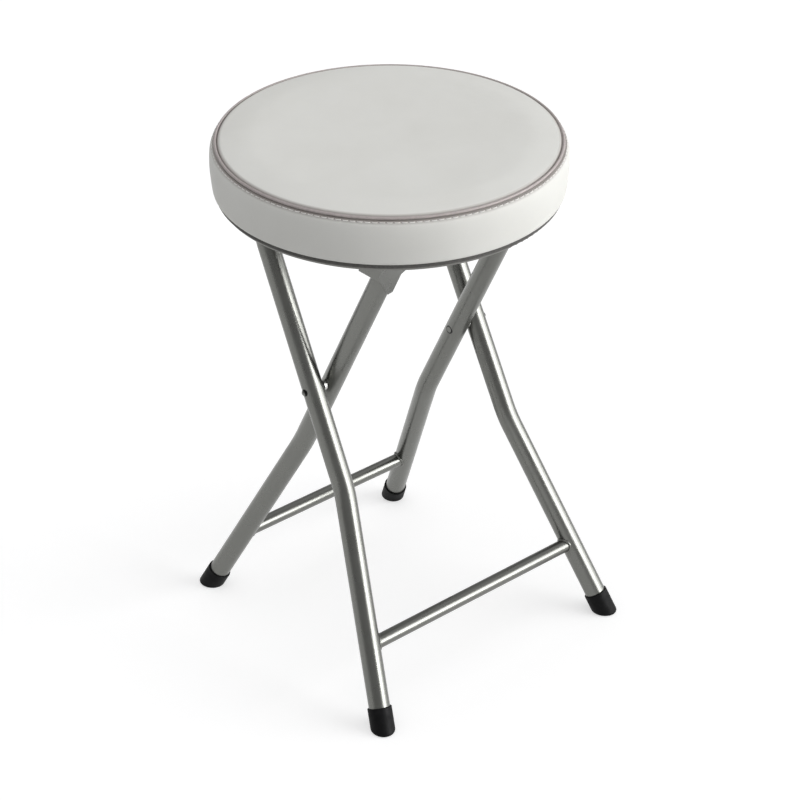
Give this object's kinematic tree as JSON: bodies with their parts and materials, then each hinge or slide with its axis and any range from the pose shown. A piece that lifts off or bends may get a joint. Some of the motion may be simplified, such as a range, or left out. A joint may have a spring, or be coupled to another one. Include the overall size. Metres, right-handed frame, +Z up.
{
  "type": "folding stool",
  "caption": "Round padded stool on two bent-tube leg frames that cross like scissors; the seat hinges on one frame, drops over the other and folds up flat.",
  "frame": {"origin": "on the floor under the middle of the open stool's box", "axes": "+Z up; X along the leg pivot's axis; -Y is the front, where the wide outer frame's feet stand and where the seat lifts"},
  "size_m": [0.31, 0.3163, 0.4826],
  "materials": {
    "silver_paint": "satin silver powder coat",
    "pan_paint": "satin grey paint on pressed steel",
    "zinc_steel": "bright zinc-plated steel",
    "cap_rubber": "matt black moulded rubber",
    "vinyl": "off-white grained PVC leathercloth, soft sheen",
    "piping_vinyl": "pale pinkish-grey PVC piping",
    "foam": "open-cell polyurethane foam",
    "plywood": "raw plywood"
  },
  "bodies": {
    "outer_frame": {"outer_frame_tube": "silver_paint", "outer_stretcher": "silver_paint", "outer_foot_left": "cap_rubber", "outer_foot_right": "cap_rubber", "pivot_rivet_left": "zinc_steel", "pivot_rivet_right": "zinc_steel", "pivot_bush_left": "zinc_steel", "pivot_bush_right": "zinc_steel"},
    "inner_frame": {"inner_frame_tube": "silver_paint", "inner_stretcher": "silver_paint", "inner_foot_left": "cap_rubber", "inner_foot_right": "cap_rubber"},
    "seat": {"hinge_strap_left": "silver_paint", "hinge_strap_right": "silver_paint", "catch_bracket_left": "silver_paint", "catch_bracket_right": "silver_paint", "strap_screws": "zinc_steel", "catch_screws": "zinc_steel", "board_screws": "zinc_steel", "seat_pan": "pan_paint", "seat_board": "plywood", "foam_pad": "foam", "cover_band": "vinyl", "cover_top": "vinyl", "piping": "piping_vinyl"}
  },
  "joints": [
    {"name": "seat_hinge", "type": "hinge", "parent": "outer_frame", "child": "seat", "pos_m": [0, 0.07318, 0.42015], "axis": [-1, 0, 0], "range_deg": [0, 115]},
    {"name": "leg_pivot", "type": "hinge", "parent": "outer_frame", "child": "inner_frame", "pos_m": [0, -0.00567, 0.2697], "axis": [-1, 0, 0], "range_deg": [0, 46]}
  ],
  "couplings": [
    {"joint": "leg_pivot", "follows": "seat_hinge", "ratio": 0.4}
  ]
}
